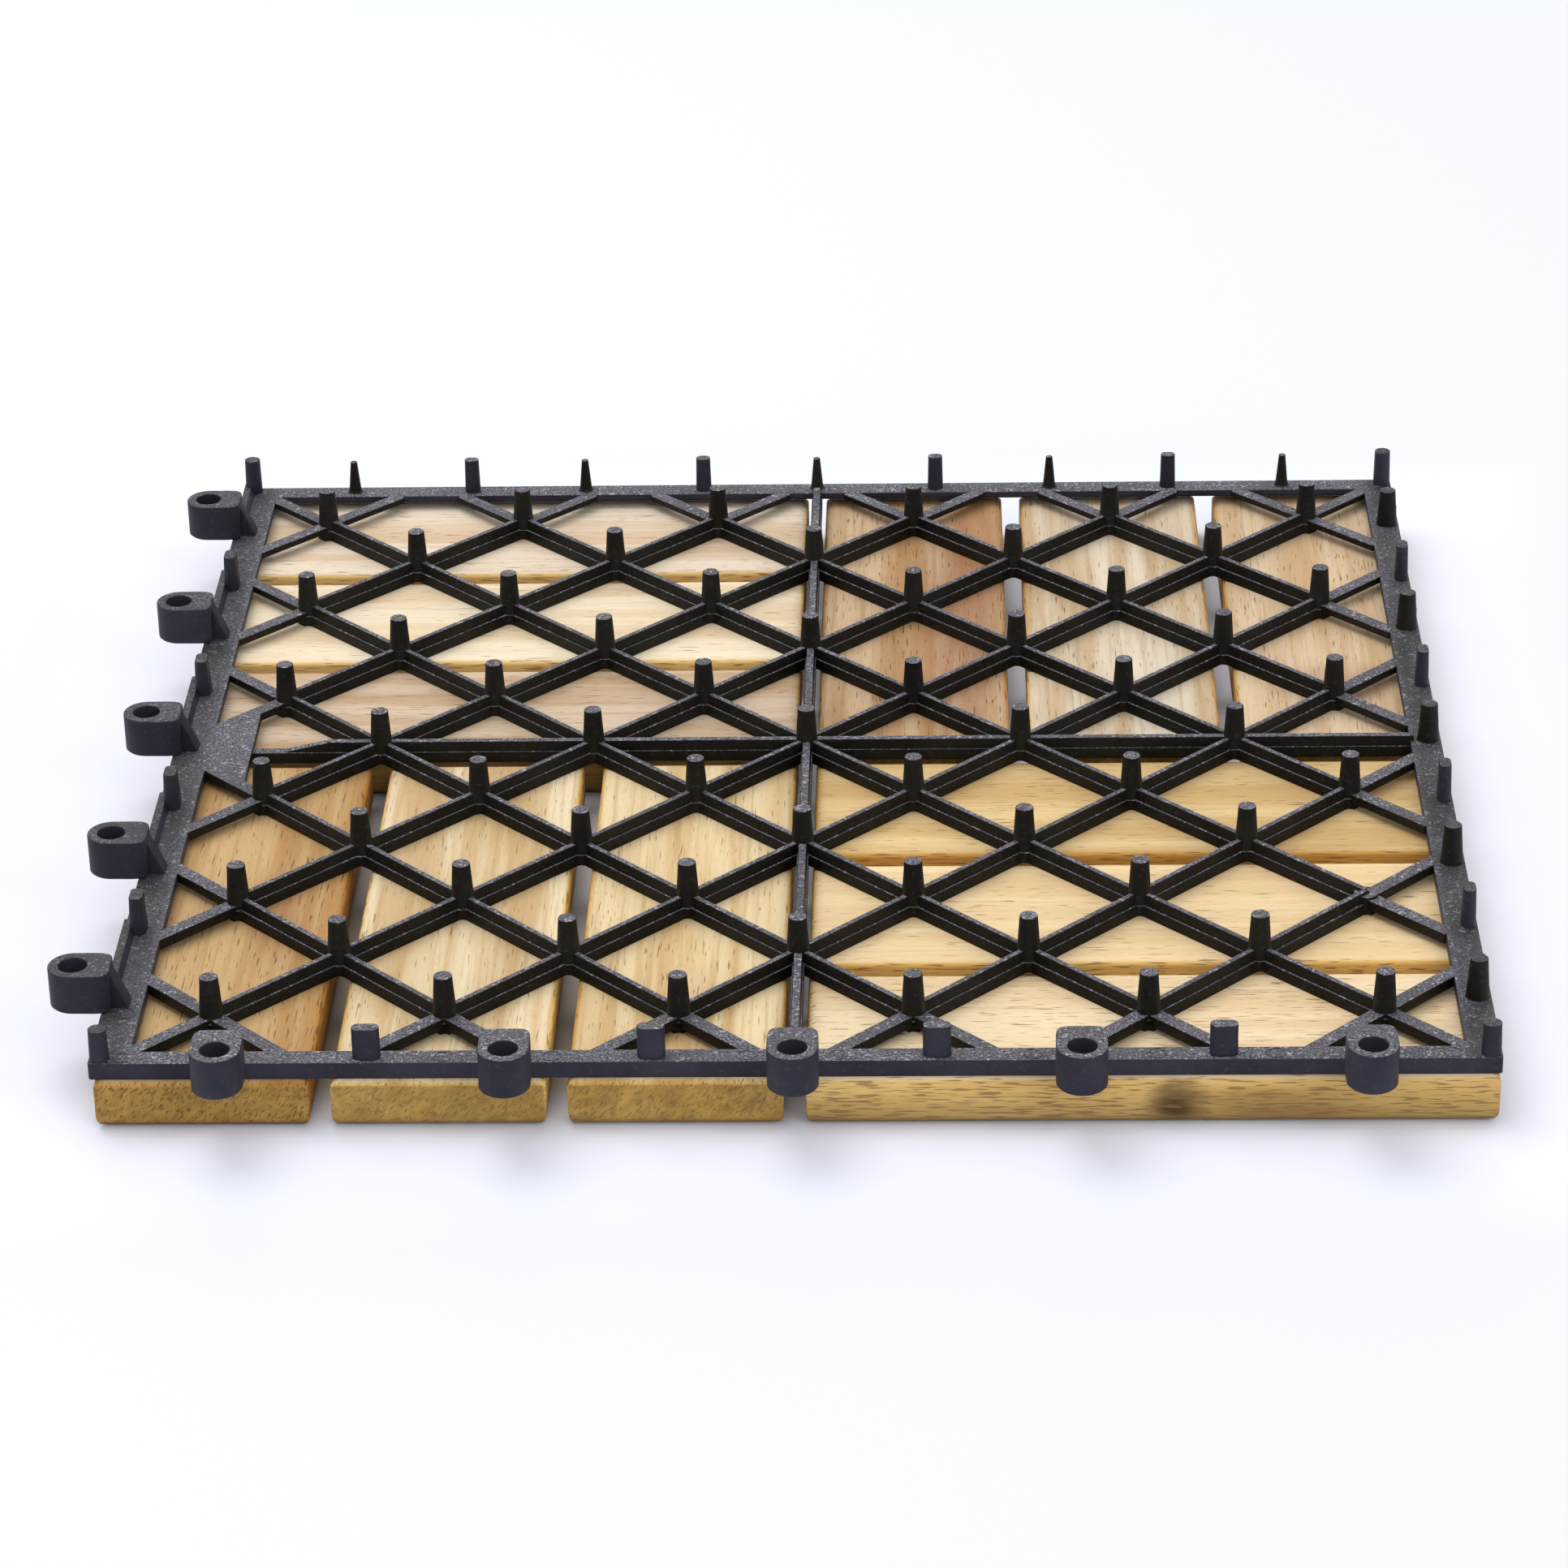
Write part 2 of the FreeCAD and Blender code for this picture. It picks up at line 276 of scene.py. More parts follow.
def noise(material, place, scale, detail=2.0, roughness=0.5, distortion=0.0):
    """Noise between about 0.3 and 0.7 at this many waves a metre."""
    made = node(material, "ShaderNodeTexNoise", Scale=scale, Detail=detail, Roughness=roughness)
    made.inputs["Distortion"].default_value = distortion
    join(material, place, made.inputs["Vector"])
    return made.outputs["Factor"] if "Factor" in made.outputs else made.outputs["Fac"]


def parts_of(material, vector):
    """The X, Y and Z outputs of a vector."""
    parted = node(material, "ShaderNodeSeparateXYZ")
    join(material, vector, parted.inputs[0])
    return parted.outputs


def grey(material, value):
    """A grey of this value, as a colour."""
    made = node(material, "ShaderNodeCombineColor")
    for channel in ("Red", "Green", "Blue"):
        join(material, value, made.inputs[channel])
    return made.outputs[0]


def shaded(colour, share):
    """A colour times a share, channel by channel."""
    return tuple(c * s for c, s in zip(colour, share)) + (1,)


def stretched(material, place, shift, turned, along, tilt=0.0):
    """Coordinates shifted, turned so that the grain runs along X, and squeezed along it."""
    made = node(material, "ShaderNodeMapping", vector_type="POINT")
    join(material, place, made.inputs["Vector"])
    made.inputs["Location"].default_value = shift
    made.inputs["Rotation"].default_value = (0, tilt, -math.pi / 2 if turned else 0)
    squeezed = node(material, "ShaderNodeVectorMath", operation="MULTIPLY")
    join(material, made.outputs["Vector"], squeezed.inputs[0])
    squeezed.inputs[1].default_value = (along, 1, 1)
    return squeezed.outputs[0]


# How far out from a spot's middle it starts to fade and where it ends, in its half sizes,
# and how much its ragged outline adds to that distance
spot_fade_start, spot_end = 0.8, 1.75
ragged_share = 1.1


def stain(material, place, ragged, spot):
    """How much a spot covers each point: an ellipsoid whose outline is ragged.

    A spot is its middle and its half sizes in millimetres, from the middle of the tile.
    """
    total = 0.0
    for axis, distance in enumerate(parts_of(material, place)[:3]):
        middle = spot[axis] * MM + tile_middle[axis]
        aside = sums(material, "SUBTRACT", distance, middle)
        share = sums(material, "DIVIDE", aside, spot[axis + 3] * MM)
        total = sums(material, "ADD", sums(material, "MULTIPLY", share, share), total)
    away = sums(material, "POWER", total, 0.5)
    away = sums(material, "ADD", away, sums(material, "MULTIPLY", ragged, ragged_share))
    return ramp(material, away, spot_fade_start, spot_end, reverse=True)


# Patterns of the wood: how far each is squeezed along the grain, its waves a metre across the
# grain, and the detail, roughness and distortion of its noise
broad_bands = (0.06, 95, 3, 0.55, 0.6)
fine_streaks = (0.03, 700, 3, 0.6, 0.25)
soft_clouds = (0.35, 28, 2, 0.5, 0.4)
fibre_grain = (0.12, 2600, 3, 0.7, 0.0)
ragged_outline = (0.25, 210, 3, 0.6, 0.5)
pore_dashes = (0.075, 2100, 1, 0.5, 0.0)
pore_crowds = (0.2, 160, 1, 0.5, 0.0)
end_dashes = (0.3, 2300, 1, 0.5, 0.0)
end_fibres = (0.5, 480, 4, 0.7, 0.6)
end_dash_tilt, end_fibre_tilt = 0.9, 0.6

# How much a band or streak of full strength changes each channel of a board's tone
pale_change = np.array([0.05, 0.09, 0.14])
deep_change = np.array([-0.22, -0.34, -0.48])
streak_change = np.array([-0.34, -0.46, -0.60])
pore_share_of_tone = (0.26, 0.18, 0.11)

end_grain = (0.345, 0.208, 0.046, 1)
end_grain_share = 0.78
# Painted contact shadow: a brown along the deck edge, full at the floor line and gone at its height
contact_shadow_brown = (0.085, 0.045, 0.020, 1)
contact_shadow_line, contact_shadow_height = 0.3 * MM, 2.3 * MM
# Heights over which the painted shade on the sides goes from darkest to lightest
shade_bottom, shade_top = 1 * MM, 10 * MM
pore_limit = 0.77
# Painted shade: shares of a board's tone for its rounded edges and sides, and a deeper one for a front
# face
painted_side_shade = (0.75, 0.61, 0.31, 1)
front_painted_side_shade = (0.66, 0.56, 0.30, 1)
red_brown = (0.34, 0.15, 0.075, 1)
rose_brown = (0.38, 0.21, 0.13, 1)
knot_brown = (0.075, 0.042, 0.022, 1)
tawny = (0.30, 0.17, 0.06, 1)


def wood(name, turned, seed, tone, figure, pore_share, spots=(), side_shade_share=painted_side_shade):
    """Planed open-pored hardwood round one tone.

    Wide bands and fine streaks run with the grain, as strong as figure.  Pores are short dark
    dashes along it, pore_share of them.  The rounded edges and the sides carry painted shade,
    darker and more golden by the side share, and painted shade that deepens downwards towards the
    floor; the end grain is darker, with slanting pores.  The deck edge carries a brown painted
    contact shadow close to the floor.  Each spot is a place with its half sizes, a colour and a
    strength.
    """
    material, shader = new_material(name)
    place = node(material, "ShaderNodeTexCoord").outputs["Object"]
    shift = (0.37 * seed, 0.71 * seed, 0.13 * seed)

    def pattern(kind, along_grain=turned, tilt=0.0):
        """One of the wood's patterns, shifted by the board's seed."""
        along, waves, detail, roughness, distortion = kind
        spread = stretched(material, place, shift, along_grain, along, tilt)
        return noise(material, spread, waves, detail, roughness, distortion)

    pale = shaded(tone, 1 + figure * pale_change)
    deep = shaded(tone, 1 + figure * deep_change)
    streak = shaded(tone, 1 + figure * streak_change)
    colour = mix(material, ramp(material, pattern(broad_bands), 0.36, 0.66), pale, deep)
    streaks = sums(material, "MULTIPLY", ramp(material, pattern(fine_streaks), 0.48, 0.70), 0.5)
    colour = mix(material, streaks, colour, streak)
    clouds = ramp(material, pattern(soft_clouds), 0.3, 0.7)
    shade = sums(material, "MULTIPLY_ADD", clouds, 0.10, 0.93)
    grain = sums(material, "MULTIPLY_ADD", pattern(fibre_grain), 0.28, -0.14)
    colour = multiplied(material, colour, grey(material, sums(material, "ADD", shade, grain)))
    ragged = pattern(ragged_outline)
    for spot, spot_colour, strength in spots:
        inside = sums(material, "MULTIPLY", stain(material, place, ragged, spot), strength)
        colour = mix(material, inside, colour, spot_colour)

    # Painted shade: faces turned from level take a darker, more golden colour that darkens further
    # towards the floor
    facing = parts_of(material, node(material, "ShaderNodeNewGeometry").outputs["Normal"])
    height = parts_of(material, place)[2]
    side = ramp(material, sums(material, "ABSOLUTE", facing[2]), 0.78, 0.995, reverse=True)
    end = ramp(material, sums(material, "ABSOLUTE", facing[1 if turned else 0]), 0.6, 0.95)
    side_shade_colour = multiplied(material, colour, side_shade_share)
    lift = sums(material, "MULTIPLY_ADD", ramp(material, height, shade_bottom, shade_top), 0.5, 0.78)
    colour = mix(material, side, colour, multiplied(material, side_shade_colour, grey(material, lift)))
    fibres = sums(material, "MULTIPLY_ADD", pattern(end_fibres, False, end_fibre_tilt), 1.5, 0.25)
    cut = mix(material, end_grain_share, side_shade_colour, end_grain)
    colour = mix(material, end, colour, multiplied(material, cut, grey(material, fibres)))
    # Painted contact shadow: brown darkening along the deck edge close to the floor
    ground = ramp(material, height, contact_shadow_line, contact_shadow_height, reverse=True)
    colour = mix(material, sums(material, "MULTIPLY", ground, 0.6), colour, contact_shadow_brown)

    slants = pattern(end_dashes, False, end_dash_tilt)
    pores = mix(material, end, grey(material, pattern(pore_dashes)), grey(material, slants))
    limit = sums(material, "MULTIPLY_ADD", pattern(pore_crowds), -0.14, pore_limit - 0.06 * pore_share)
    limit = sums(material, "SUBTRACT", limit, sums(material, "MULTIPLY", side, 0.085))
    depth = sums(material, "MULTIPLY", sums(material, "SUBTRACT", pores, limit), 15.0, clamp=True)
    darkness = sums(material, "MULTIPLY", depth, 0.75)
    colour = mix(material, darkness, colour, shaded(tone, pore_share_of_tone))
    join(material, colour, shader.inputs["Base Color"])
    shader.inputs["Roughness"].default_value = 0.62
    shader.inputs["Specular IOR Level"].default_value = 0.2
    bump = node(material, "ShaderNodeBump", Strength=0.4, Distance=0.12 * MM, invert=True)
    join(material, depth, bump.inputs["Height"])
    join(material, bump.outputs[0], shader.inputs["Normal"])
    return material


boards = {
    "front_left_1": dict(tone=(0.58, 0.37, 0.165), figure=0.9, pore_share=0.9,
                         spots=[((-118, -72, 11, 9, 22, 8), red_brown, 0.4)]),
    "front_left_2": dict(tone=(0.85, 0.68, 0.42), figure=1.05, pore_share=0.5),
    "front_left_3": dict(tone=(0.81, 0.62, 0.345), figure=1.0, pore_share=0.6),
    # Its front face takes the deeper painted side shade
    "front_right_1": dict(tone=(0.90, 0.70, 0.43), figure=0.5, pore_share=1.2, side_shade_share=front_painted_side_shade,
                          spots=[((80, -148.5, 5, 8, 4, 7), knot_brown, 0.95),
                                 ((100, -148.5, 4, 22, 4, 6), tawny, 0.55)]),
    "front_right_2": dict(tone=(0.91, 0.69, 0.39), figure=0.45, pore_share=0.5),
    "front_right_3": dict(tone=(0.75, 0.535, 0.253), figure=0.7, pore_share=0.8),
    "back_left_1": dict(tone=(0.66, 0.50, 0.34), figure=0.9, pore_share=0.8),
    "back_left_2": dict(tone=(0.89, 0.74, 0.515), figure=0.5, pore_share=0.4),
    "back_left_3": dict(tone=(0.82, 0.68, 0.51), figure=0.75, pore_share=0.7),
    "back_right_1": dict(tone=(0.57, 0.385, 0.22), figure=1.1, pore_share=0.9,
                         spots=[((38, 80, 11, 12, 95, 9), red_brown, 0.6)]),
    "back_right_2": dict(tone=(0.72, 0.60, 0.43), figure=1.05, pore_share=0.5),
    "back_right_3": dict(tone=(0.73, 0.55, 0.35), figure=0.9, pore_share=0.7,
                         spots=[((127, 36, 11, 16, 14, 8), rose_brown, 0.6)]),
}
for number, (place, look) in enumerate(boards.items()):
    cad_name = "slat_" + place
    low, high = tile_box(cad_name)
    finish = wood("wood of " + place, runs_along_y(low, high), number + 1, **look)
    board = make_piece("board_" + place, slat_mesh(low, high), finish)
    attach(board, "root")
    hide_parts(cad_name)


# Moulded base, rim and lattice.
# One charcoal plastic moulding.  The rim is a thin flange with a skirt down to the wood along
# its outer edge.  The lattice of diagonal webs lies on the wood, its crossings filleted.

pitch = 50 * MM
columns = 6
half_tile = columns * pitch / 2
web_width = 2.7 * MM
web_height = 2.7 * MM
rim_height = 3.8 * MM
rim_low = np.array([1.2, 4.2]) * MM - half_tile
rim_high = half_tile - np.array([1.8, 2.6]) * MM
near_rim_widths = np.array([8.5, 5.2]) * MM
far_rim_widths = np.array([7.2, 6.0]) * MM
near_flange, far_flange = 2.6 * MM, 1.4 * MM
skirt_width = 1.3 * MM
rim_corner_radius = 0.8 * MM
window_corner_radius = 0.4 * MM
plate_edge_radius = 0.25 * MM
plate_length = 19.6 * MM
crossing_fillet = 1.3 * MM
bar_edge_radius = 0.2 * MM
bar_corner_radius = 0.5 * MM
arc_steps = 6
into_rim = 1 * MM

# Faces that would lie in one plane are set this far apart
sunk = 0.02 * MM

plate_bottom = tile_box("slat_front_left_1")[1][2]
plate_top = plate_bottom + rim_height
web_top = plate_bottom + web_height
window_low = rim_low + near_rim_widths
window_high = rim_high - far_rim_widths
plate_start = -half_tile + plate_length
outer = pitch * (np.arange(columns) + 0.5 - columns / 2)
inner = pitch * (np.arange(1, columns) - columns / 2)
crossings = [(x, y) for x in outer for y in outer] + [(x, y) for x in inner for y in inner]


def flange_bottom(y):
    """Height of the flange's lower face, which thins evenly from the near side to the far one."""
    share = (np.asarray(y) + half_tile) / (2 * half_tile)
    return plate_top - near_flange - (far_flange - near_flange) * share


def eased_top(radius, bottom, top, levels=4):
    """Insets and heights up a straight wall to a small quarter circle at its top."""
    angle = np.linspace(0, np.pi / 2, levels)
    inset, height = radius * (1 - np.cos(angle)), top - radius + radius * np.sin(angle)
    return np.concatenate([[0], inset]), np.concatenate([[bottom], height])


def bar(start, end, width, bottom, top, draft=0.0):
    """A bar with eased top edges from start to end, a closed block whose sides draw in by draft."""
    start, end = np.asarray(start, float), np.asarray(end, float)
    length = np.linalg.norm(end - start)
    insets, heights = eased_top(bar_edge_radius, bottom, top)
    insets = insets + draft * (heights - bottom) / (top - bottom)
    rings = rounded_rings((0, -width / 2), (length, width / 2), bar_corner_radius, insets, heights)
    along = (end - start) / length
    across = np.array([-along[1], along[0]])
    flat = start + rings[..., :1] * along + rings[..., 1:2] * across
    return skin(np.concatenate([flat, rings[..., 2:]], axis=-1))


def crossing(x, y, top):
    """The four fillets of a crossing as one star, whose points lie inside the webs.

    Each fillet is a quarter circle round a point its radius outside both webs' faces.
    """
    insets, heights = eased_top(bar_edge_radius, plate_bottom, top)
    reach = web_width / 2 + crossing_fillet
    sweep = np.linspace(0, np.pi / 2, arc_steps)
    quarter = np.arange(4)[:, None] * np.pi / 2 + np.pi / 4
    angle = np.pi + quarter - np.pi / 4 + sweep[::-1]
    centre_x = reach * math.sqrt(2) * np.cos(quarter) + 0 * sweep
    centre_y = reach * math.sqrt(2) * np.sin(quarter) + 0 * sweep
    radii = (crossing_fillet + insets)[:, None, None]
    u = (centre_x + radii * np.cos(angle)).reshape(len(insets), -1)
    v = (centre_y + radii * np.sin(angle)).reshape(len(insets), -1)
    z = heights[:, None] + 0 * u
    turned = math.sqrt(0.5)
    return skin(np.stack([x + turned * (u - v), y + turned * (u + v), z], axis=-1))


def rib_ends(k, way):
    """The outermost crossings of rib k of the ribs that rise with X or, with way -1, fall."""
    spread = (columns - 1 - abs(k)) * pitch
    begin = np.array([(k * pitch - spread) / 2, -way * (k * pitch + spread) / 2])
    return begin, begin + spread * np.array([1, way])


grain_waves, patch_waves, glint_waves = 1700, 45, 850
# Level faces: grain between two colours painted paler as if lit by sheen, and a worn colour
lit_top_dark = (0.045, 0.043, 0.051, 1)
lit_top_pale = (0.200, 0.190, 0.215, 1)
lit_top_worn = (0.062, 0.060, 0.062, 1)
# Painted shade: near black for the tops of the left and right rims
side_rim_shade_black = (0.030, 0.031, 0.031, 1)
# Painted glints: the pale grey of bright specks on level faces
painted_glint_grey = (0.42, 0.40, 0.42, 1)
# Where the painted shade on the left and right rims begins and where it is full
side_rim_shade_start, side_rim_shade_full = half_tile - 11 * MM, half_tile - 7 * MM


def plastic(name, shaded_side_dark, shaded_side_pale):
    """Charcoal plastic with a coarse spark-eroded grain.  Level faces are painted paler, as lit by
    sheen, with painted glints, and upright faces take the shaded colours it is given.

    Along the left and right rims the tops carry painted shade and fewer painted glints, with paler
    worn patches.
    """
    material, shader = new_material(name)
    place = node(material, "ShaderNodeTexCoord").outputs["Object"]
    grain = noise(material, place, grain_waves, 4, 0.75)
    patch = noise(material, place, patch_waves, 3, 0.6)
    glint_noise = noise(material, place, glint_waves, 3, 0.65)
    facing = parts_of(material, node(material, "ShaderNodeNewGeometry").outputs["Normal"])
    # Painted light: level faces take the paler lit colours and the painted glints, upright faces the
    # shaded ones
    level = ramp(material, facing[2], 0.6, 0.97)
    top = mix(material, ramp(material, grain, 0.42, 0.58), lit_top_dark, lit_top_pale)
    wear = sums(material, "MULTIPLY", ramp(material, patch, 0.4, 0.65), 0.45)
    top = mix(material, wear, top, lit_top_worn)
    # Painted shade: the left and right rims' tops darkened towards near black, less in some patches
    aside = sums(material, "SUBTRACT", parts_of(material, place)[0], float(tile_middle[0]))
    side_rim_shade = ramp(material, sums(material, "ABSOLUTE", aside), side_rim_shade_start, side_rim_shade_full)
    unworn = ramp(material, patch, 0.45, 0.7, reverse=True)
    black = sums(material, "MULTIPLY", side_rim_shade, sums(material, "MULTIPLY_ADD", unworn, -0.3, 0.85))
    top = mix(material, black, top, side_rim_shade_black)
    side = mix(material, ramp(material, patch, 0.35, 0.65), shaded_side_dark, shaded_side_pale)
    colour = mix(material, level, side, top)
    strong = sums(material, "MULTIPLY", level, sums(material, "MULTIPLY_ADD", side_rim_shade, -0.5, 0.8))
    strong = sums(material, "ADD", strong, 0.03)
    # Painted glints: pale grey specks on level faces, fewer on the left and right rims
    bright = sums(material, "MULTIPLY", ramp(material, glint_noise, 0.56, 0.68), strong)
    join(material, mix(material, bright, colour, painted_glint_grey), shader.inputs["Base Color"])
    shader.inputs["Roughness"].default_value = 0.5
    shader.inputs["Specular IOR Level"].default_value = 0.16
    bump = node(material, "ShaderNodeBump", Strength=0.6, Distance=0.08 * MM)
    join(material, grain, bump.inputs["Height"])
    join(material, bump.outputs[0], shader.inputs["Normal"])
    return material


def moulded(name, parts, material):
    """A piece of the one moulding, in place of the CAD base."""
    piece = make_piece(name, parts, material)
    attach(piece, "root")
    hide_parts("base_grid")


# Two copies of one plastic, upright faces differing by painted light: rim copy paler, lattice near
# black
lattice_plastic_shaded_sides = plastic("lattice plastic with shaded sides", (0.005, 0.0045, 0.003, 1), (0.012, 0.011, 0.008, 1))
rim_plastic_lit_sides = plastic("rim plastic with lit sides", (0.020, 0.019, 0.028, 1), (0.032, 0.031, 0.045, 1))

web_bars = []
for way, top in ((1, web_top), (-1, web_top - sunk)):
    for k in range(2 - columns, columns - 1):
        web_bars.append(bar(*rib_ends(k, way), web_width, plate_bottom, top))
spine_ends = (
    ((0, window_low[1] - into_rim), (0, window_high[1] + into_rim)),
    ((plate_start - into_rim, 0), (window_high[0] + into_rim, 0)),
)
for start, end in spine_ends:
    web_bars.append(bar(start, end, web_width, plate_bottom, web_top - 2 * sunk))
stars = [crossing(x, y, web_top - 3 * sunk) for x, y in crossings]
moulded("lattice_webs", web_bars + stars, lattice_plastic_shaded_sides)

edge_insets, edge_heights = eased_top(plate_edge_radius, plate_bottom, plate_top)
outside = rounded_rings(rim_low, rim_high, rim_corner_radius, edge_insets, edge_heights)
inside = rounded_rings(window_low, window_high, window_corner_radius, -edge_insets, edge_heights)[::-1]
inside[-1, :, 2] = flange_bottom(inside[-1, :, 1])
skirt_levels = (plate_top, plate_bottom)
skirt = rounded_rings(rim_low, rim_high, rim_corner_radius, (skirt_width, skirt_width), skirt_levels)
skirt[0, :, 2] = flange_bottom(skirt[0, :, 1])
rim_band = skin(np.concatenate([outside, inside, skirt]), capped=False, closed=True)
moulded("rim", [rim_band], rim_plastic_lit_sides)


# Flat ribs and ridges.
# The ribs between the outermost crossings and the rim are flat and as high as the rim.  All
# other ribs and the two straight spines carry a narrow ridge whose sides draw in upwards.  They
# are moulded in one with the webs, and so is the three-cornered plate inside the left rim.

flat_rib_width = 3.5 * MM
flat_reach = 17 * MM
ridge_foot_width = 1.9 * MM
ridge_draft = 0.27 * MM
ridge_height = 5.2 * MM
ridge_root = 1 * MM
spine_ridge_width = 2.3 * MM
ramp_start = 2 * MM
ramp_length = 11 * MM
ridge_top = plate_bottom + ridge_height
ridge_bottom = web_top - ridge_root

ridge = (ridge_foot_width, ridge_bottom, ridge_top, ridge_draft)
ridge_bars, flat_bars = [], []
for way in (1, -1):
    reach = flat_reach * np.array([1, way])
    for k in range(1 - columns, columns):
        begin, finish = rib_ends(k, way)
        for start, end in ((begin - reach, begin), (finish, finish + reach)):
            points, faces = bar(start, end, flat_rib_width, plate_bottom, plate_top - sunk)
            low_points = points[:, 2] < plate_bottom + sunk
            points[low_points, 2] = flange_bottom(points[low_points, 1])
            flat_bars.append((points, faces))
        if abs(k) < columns - 1:
            ridge_bars.append(bar(begin, finish, *ridge))
plate_outline = np.array([[-half_tile, 0], [plate_start, -plate_length], [plate_start, plate_length]])
plate_levels = np.array([float(flange_bottom(0)), plate_top - 2 * sunk])[:, None] + np.zeros(3)
plate_rings = np.dstack([np.array([plate_outline, plate_outline]), plate_levels])
flat_bars.append(skin(plate_rings))
moulded("flat_ribs", flat_bars, lattice_plastic_shaded_sides)

# The spine along X rises from the plate in a ramp, its upper face sloping
spine = (spine_ridge_width, ridge_bottom, ridge_top - sunk, ridge_draft)
spine_foot = outer[0] + ramp_start
spine_crest = spine_foot + ramp_length
ridge_bars.append(bar(*spine_ends[0], *spine))
ridge_bars.append(bar((spine_crest - into_rim, 0), spine_ends[1][1], *spine))
points, faces = bar((spine_foot, 0), (spine_crest, 0), *spine)
short_of_crest = 1 - (points[:, 0] - spine_foot) / ramp_length
up_the_ridge = (points[:, 2] - ridge_bottom) / (ridge_top - ridge_bottom)
points[:, 2] -= short_of_crest * (ridge_top - web_top) * up_the_ridge
ridge_bars.append((points, faces))
moulded("rib_ridges", ridge_bars, lattice_plastic_shaded_sides)


# Pegs.
# Tapered round pegs on every crossing of the ribs carry the tile above the ground when it
# lies deck up.  Each has a small fillet at its root.  One has broken off over its core hole.

peg_sides = 28
peg_base_radius = 2.65 * MM
peg_top_radius = 2.0 * MM
peg_height = 10.3 * MM
post_tip_radius = 0.15 * MM
peg_fillet = 0.35 * MM
root_depth = 0.3 * MM
lost_peg = np.array([125, -75]) * MM
stub_rise = 1.7 * MM
core_hole_radius = 0.75 * MM
core_hole_bottom = 0.3 * MM


def post(x, y, level, base, top_radius, height, fillet=peg_fillet):
    """A tapered post: a quarter-circle fillet at its root, a straight taper and an eased tip."""
    angle = np.linspace(0, np.pi / 2, 4)
    root = base + fillet * (1 - np.sin(angle))
    root_z = level + fillet * (1 - np.cos(angle))
    tip = top_radius - post_tip_radius * (1 - np.cos(angle))
    tip_z = level + height - post_tip_radius * (1 - np.sin(angle))
    radii = np.concatenate([[base], root, tip, [0.5 * top_radius]])
    levels = np.concatenate([[level - root_depth], root_z, tip_z, [level + height]])
    return skin(circle_rings(x, y, radii, levels, peg_sides))


peg_parts = []
for x, y in crossings:
    if np.hypot(x - lost_peg[0], y - lost_peg[1]) > MM:
        peg_parts.append(post(x, y, web_top, peg_base_radius, peg_top_radius, peg_height))
stub_radii = (peg_base_radius, peg_base_radius, core_hole_radius, core_hole_radius)
stub_levels = web_top + np.array([-root_depth, stub_rise, stub_rise, core_hole_bottom])
peg_parts.append(skin(circle_rings(*lost_peg, stub_radii, stub_levels, peg_sides)))
moulded("pegs", peg_parts, lattice_plastic_shaded_sides)


# Joining loops.
# Five D-shaped eyes stand out from the front rim and five from the left one.  A buttress
# behind each slopes down on to the rim.  The pins of the next tile go up through them.

loop_pitch = 60 * MM
joints = loop_pitch * (np.arange(5) - 2)
front_loop_line = -half_tile - 5.8 * MM
left_loop_line = -half_tile - 4.8 * MM
loop_half_width = 5.4 * MM
loop_inner_length = 8.2 * MM
loop_hole_radius = 3.1 * MM
loop_height = 9.2 * MM
loop_lift = 0.2 * MM
loop_bottom = plate_top + loop_lift
loop_top = loop_bottom + loop_height
loop_edge_radius = 0.35 * MM
loop_sides = 64
loop_corner_power = 6.0
buttress_run = 3.7 * MM
buttress_half_width = 2.4 * MM
buttress_ease = 0.35 * MM
buttress_start = loop_hole_radius + 1.2 * MM
buttress_bottom = loop_bottom + 0.1 * MM
buttress_crest = loop_top - 0.4 * MM
buttress_crest_end = loop_inner_length - 0.3 * MM
buttress_foot = plate_top - 0.2 * MM
buttress_past_rim = 0.4 * MM


def placed(points, turn, shift):
    """Points turned about the vertical and then shifted."""
    c, s = math.cos(turn), math.sin(turn)
    x = points[..., 0] * c - points[..., 1] * s + shift[0]
    y = points[..., 0] * s + points[..., 1] * c + shift[1]
    return np.stack([x, y, points[..., 2]], axis=-1)


def loop_reach(angle):
    """Distance from the hole's centre to the D outline in each direction.

    On the outer half it is a circle.  On the inner half the outline is a box whose corners
    are rounded, the sum of the sixth powers of its two shares being one.
    """
    x, y = np.cos(angle), np.sin(angle)
    inner_half = y > 0
    power = np.where(inner_half, loop_corner_power, 2.0)
    depth = np.where(inner_half, loop_inner_length, loop_half_width)
    total = (np.abs(x) / loop_half_width) ** power + (np.abs(y) / depth) ** power
    return total ** (-1 / power)


def loop_block(turn, shift):
    """An eye as a closed band: up the hole, out over the top, down the outside and back."""
    angle = np.arange(loop_sides) * 2 * np.pi / loop_sides
    ease = np.linspace(0, np.pi / 2, 4)
    r = loop_edge_radius
    inset, rise = r * (1 - np.cos(ease)), loop_top - r + r * np.sin(ease)
    hole_out = np.concatenate([[r, 0, 0], inset[1:]])
    hole_z = np.concatenate([[loop_bottom, loop_bottom + r, loop_top - r], rise[1:]])
    side_in = np.concatenate([inset[::-1], [0, r]])
    side_z = np.concatenate([rise[::-1], [loop_bottom + r, loop_bottom]])
    reach = loop_reach(angle)[None]
    hole_radii = loop_hole_radius + hole_out[:, None] + 0 * reach
    radii = np.concatenate([hole_radii, reach - side_in[:, None]])
    levels = np.concatenate([hole_z, side_z])[:, None] + 0 * angle
    x, y = radii * np.cos(angle), radii * np.sin(angle)
    rings = placed(np.stack([x, y, levels], axis=-1), turn, shift)
    return skin(rings, capped=False, closed=True)


